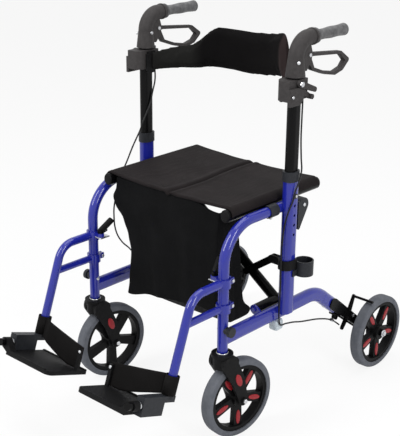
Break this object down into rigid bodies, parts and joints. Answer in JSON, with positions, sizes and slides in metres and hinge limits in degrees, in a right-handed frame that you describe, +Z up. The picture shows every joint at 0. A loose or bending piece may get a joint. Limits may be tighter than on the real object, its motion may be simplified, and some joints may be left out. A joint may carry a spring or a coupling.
{
  "type": "rollator transport chair",
  "caption": "Folding rollator that doubles as a push chair: sling seat, bowed backrest, under-seat bag, swing-away footrests, swivel front wheels and loop hand brakes.",
  "frame": {"origin": "on the floor, at the centre of the bounding box in X and Y", "axes": "+Z up, +X to the chair's right side, +Y to the rear"},
  "size_m": [0.586, 0.979, 0.949],
  "materials": {
    "frame_paint": "deep blue powder coat with fine glitter, semi-gloss",
    "black_steel": "black powder-coated tube",
    "black_plastic": "black moulded plastic, satin",
    "silver_steel": "zinc-plated steel",
    "grip_rubber": "black rubber",
    "tyre": "dark grey solid tyre",
    "seat_cloth": "black woven polyester",
    "pad_cloth": "black padded polyester",
    "strap_web": "black webbing",
    "cable": "black cable jacket"
  },
  "bodies": {
    "right_frame": {"right_front_leg": "frame_paint", "right_bottom_rail": "frame_paint", "right_upright_post": "frame_paint", "right_frame_fittings": "black_plastic", "right_rear_bracket": "black_steel", "right_brake_cable": "cable", "cane_holder": "black_plastic", "cargo_bag": "seat_cloth"},
    "right_handle": {"right_handle_tube": "black_steel", "right_handle_housing": "black_plastic", "right_grip": "grip_rubber", "right_backrest_bracket": "black_plastic"},
    "right_lever": {"right_brake_lever": "black_plastic"},
    "right_back": {"right_backrest_arm": "black_plastic", "backrest_pad": "pad_cloth"},
    "right_cross": {"right_cross_frame": "black_steel", "left_seat_panel": "seat_cloth", "cross_bolt": "silver_steel"},
    "right_stay": {"right_stay_link": "black_steel"},
    "right_collar": {"right_stay_collar": "black_plastic"},
    "right_caster": {"right_caster_fork": "black_plastic"},
    "right_front_wheel": {"right_front_hub": "black_plastic", "right_front_tyre": "tyre"},
    "right_rear_wheel": {"right_rear_hub": "black_plastic", "right_rear_tyre": "tyre"},
    "right_hanger": {"right_footrest_hanger": "frame_paint", "right_hinge_block": "black_plastic"},
    "right_latch": {"right_footrest_latch": "black_steel"},
    "right_pin": {"right_hinge_pin": "black_steel", "right_heel_strap": "strap_web"},
    "right_plate": {"right_footplate": "black_plastic"},
    "right_brake": {"right_brake_arm": "black_steel"},
    "left_frame": {"left_front_leg": "frame_paint", "left_bottom_rail": "frame_paint", "left_upright_post": "frame_paint", "left_frame_fittings": "black_plastic", "left_rear_bracket": "black_steel", "left_brake_cable": "cable"},
    "left_handle": {"left_handle_tube": "black_steel", "left_handle_housing": "black_plastic", "left_grip": "grip_rubber", "left_backrest_bracket": "black_plastic"},
    "left_lever": {"left_brake_lever": "black_plastic"},
    "left_back": {"left_backrest_arm": "black_plastic"},
    "left_cross": {"left_cross_frame": "black_steel", "right_seat_panel": "seat_cloth"},
    "left_stay": {"left_stay_link": "black_steel"},
    "left_collar": {"left_stay_collar": "black_plastic"},
    "left_caster": {"left_caster_fork": "black_plastic"},
    "left_front_wheel": {"left_front_hub": "black_plastic", "left_front_tyre": "tyre"},
    "left_rear_wheel": {"left_rear_hub": "black_plastic", "left_rear_tyre": "tyre"},
    "left_hanger": {"left_footrest_hanger": "frame_paint", "left_hinge_block": "black_plastic"},
    "left_latch": {"left_footrest_latch": "black_steel"},
    "left_pin": {"left_hinge_pin": "black_steel", "left_heel_strap": "strap_web"},
    "left_plate": {"left_footplate": "black_plastic"},
    "left_brake": {"left_brake_arm": "black_steel"}
  },
  "joints": [
    {"name": "fold", "type": "hinge", "parent": "right_frame", "child": "right_cross", "pos_m": [0.192, 0.01251, 0.284], "axis": [0, 1, 0], "range_deg": [0, 32], "deforming": ["cargo_bag", "backrest_pad", "right_seat_panel", "left_seat_panel", "right_heel_strap", "left_heel_strap"]},
    {"name": "left_cross_turn", "type": "hinge", "parent": "right_cross", "child": "left_cross", "pos_m": [0, 0.02851, 0.418], "axis": [0, 1, 0], "range_deg": [-64, 0]},
    {"name": "left_frame_turn", "type": "hinge", "parent": "left_cross", "child": "left_frame", "pos_m": [-0.192, 0.01251, 0.284], "axis": [0, 1, 0], "range_deg": [0, 32]},
    {"name": "right_stay_turn", "type": "hinge", "parent": "right_cross", "child": "right_stay", "pos_m": [0.1104, 0.02851, 0.34095], "axis": [0, 1, 0], "range_deg": [-64, 0]},
    {"name": "right_collar_turn", "type": "hinge", "parent": "right_stay", "child": "right_collar", "pos_m": [0.192, 0.02851, 0.3979], "axis": [0, 1, 0], "range_deg": [0, 32]},
    {"name": "left_stay_turn", "type": "hinge", "parent": "left_cross", "child": "left_stay", "pos_m": [-0.1104, 0.02851, 0.34095], "axis": [0, 1, 0], "range_deg": [0, 64]},
    {"name": "left_collar_turn", "type": "hinge", "parent": "left_stay", "child": "left_collar", "pos_m": [-0.192, 0.02851, 0.3979], "axis": [0, 1, 0], "range_deg": [-32, 0]},
    {"name": "right_handle_height", "type": "slide", "parent": "right_frame", "child": "right_handle", "axis": [0, 0, 1], "range_m": [-0.096, 0], "deforming": ["right_brake_cable"]},
    {"name": "right_lever_squeeze", "type": "hinge", "parent": "right_handle", "child": "right_lever", "pos_m": [0.236, 0.06351, 0.893], "axis": [1, 0, 0], "range_deg": [0, 9], "stiffness_Nm_per_rad": 2, "springref_deg": -5.73},
    {"name": "right_brake_turn", "type": "hinge", "parent": "right_frame", "child": "right_brake", "pos_m": [0.218, 0.32884, 0.15531], "axis": [-1, 0, 0], "range_deg": [0, 5]},
    {"name": "right_caster_swivel", "type": "hinge", "parent": "right_frame", "child": "right_caster", "pos_m": [0.218, -0.18149, 0.215], "axis": [0, 0, 1], "continuous": true},
    {"name": "right_front_roll", "type": "hinge", "parent": "right_caster", "child": "right_front_wheel", "pos_m": [0.22454, -0.13495, 0.1], "axis": [0.9903, -0.1392, 0], "continuous": true},
    {"name": "right_rear_roll", "type": "hinge", "parent": "right_frame", "child": "right_rear_wheel", "pos_m": [0.268, 0.38951, 0.1], "axis": [1, 0, 0], "continuous": true},
    {"name": "right_hanger_swing", "type": "hinge", "parent": "right_frame", "child": "right_hanger", "pos_m": [0.218, -0.18149, 0.377], "axis": [0, 0, 1], "range_deg": [0, 90]},
    {"name": "right_latch_turn", "type": "hinge", "parent": "right_hanger", "child": "right_latch", "pos_m": [0.1905, -0.18149, 0.424], "axis": [0, 0, 1], "range_deg": [0, 25], "stiffness_Nm_per_rad": 0.2, "springref_deg": -11.46},
    {"name": "right_pin_turn", "type": "hinge", "parent": "right_hanger", "child": "right_pin", "pos_m": [0.218, -0.47515, 0.21455], "axis": [0, 0.9397, -0.342], "range_deg": [0, 90], "deforming": ["right_heel_strap"]},
    {"name": "right_footplate_flip", "type": "hinge", "parent": "right_pin", "child": "right_plate", "pos_m": [0.218, -0.47515, 0.21455], "axis": [0, 0.9397, -0.342], "range_deg": [0, 90], "deforming": ["right_heel_strap"]},
    {"name": "left_handle_height", "type": "slide", "parent": "left_frame", "child": "left_handle", "axis": [0, 0, 1], "range_m": [-0.096, 0], "deforming": ["left_brake_cable"]},
    {"name": "left_lever_squeeze", "type": "hinge", "parent": "left_handle", "child": "left_lever", "pos_m": [-0.236, 0.06351, 0.893], "axis": [1, 0, 0], "range_deg": [0, 9], "stiffness_Nm_per_rad": 2, "springref_deg": -5.73},
    {"name": "left_brake_turn", "type": "hinge", "parent": "left_frame", "child": "left_brake", "pos_m": [-0.218, 0.32884, 0.15531], "axis": [-1, 0, 0], "range_deg": [0, 5]},
    {"name": "left_caster_swivel", "type": "hinge", "parent": "left_frame", "child": "left_caster", "pos_m": [-0.218, -0.18149, 0.215], "axis": [0, 0, 1], "continuous": true},
    {"name": "left_front_roll", "type": "hinge", "parent": "left_caster", "child": "left_front_wheel", "pos_m": [-0.21146, -0.13495, 0.1], "axis": [0.9903, -0.1392, 0], "continuous": true},
    {"name": "left_rear_roll", "type": "hinge", "parent": "left_frame", "child": "left_rear_wheel", "pos_m": [-0.268, 0.38951, 0.1], "axis": [1, 0, 0], "continuous": true},
    {"name": "left_hanger_swing", "type": "hinge", "parent": "left_frame", "child": "left_hanger", "pos_m": [-0.218, -0.18149, 0.377], "axis": [0, 0, -1], "range_deg": [0, 90]},
    {"name": "left_latch_turn", "type": "hinge", "parent": "left_hanger", "child": "left_latch", "pos_m": [-0.1905, -0.18149, 0.424], "axis": [0, 0, -1], "range_deg": [0, 25], "stiffness_Nm_per_rad": 0.2, "springref_deg": -11.46},
    {"name": "left_pin_turn", "type": "hinge", "parent": "left_hanger", "child": "left_pin", "pos_m": [-0.218, -0.47515, 0.21455], "axis": [0, -0.9397, 0.342], "range_deg": [0, 90], "deforming": ["left_heel_strap"]},
    {"name": "left_footplate_flip", "type": "hinge", "parent": "left_pin", "child": "left_plate", "pos_m": [-0.218, -0.47515, 0.21455], "axis": [0, -0.9397, 0.342], "range_deg": [0, 90], "deforming": ["left_heel_strap"]},
    {"name": "backrest_flip", "type": "hinge", "parent": "right_handle", "child": "right_back", "pos_m": [0.208, 0.02851, 0.816], "axis": [1, 0, 0], "range_deg": [0, 180]},
    {"name": "left_arm_flip", "type": "hinge", "parent": "left_handle", "child": "left_back", "pos_m": [-0.208, 0.02851, 0.816], "axis": [1, 0, 0], "range_deg": [0, 180]}
  ],
  "couplings": [
    {"joint": "left_cross_turn", "follows": "fold", "ratio": -2},
    {"joint": "left_frame_turn", "follows": "fold", "ratio": 1},
    {"joint": "right_stay_turn", "follows": "fold", "ratio": -2},
    {"joint": "right_collar_turn", "follows": "fold", "ratio": 1},
    {"joint": "left_stay_turn", "follows": "fold", "ratio": 2},
    {"joint": "left_collar_turn", "follows": "fold", "ratio": -1},
    {"joint": "right_pin_turn", "follows": "fold", "ratio": 2.8125},
    {"joint": "left_pin_turn", "follows": "fold", "ratio": 2.8125},
    {"joint": "left_handle_height", "follows": "right_handle_height", "ratio": 1},
    {"joint": "left_arm_flip", "follows": "backrest_flip", "ratio": 1},
    {"joint": "right_brake_turn", "follows": "right_lever_squeeze", "ratio": 0.55},
    {"joint": "left_brake_turn", "follows": "left_lever_squeeze", "ratio": 0.55}
  ]
}
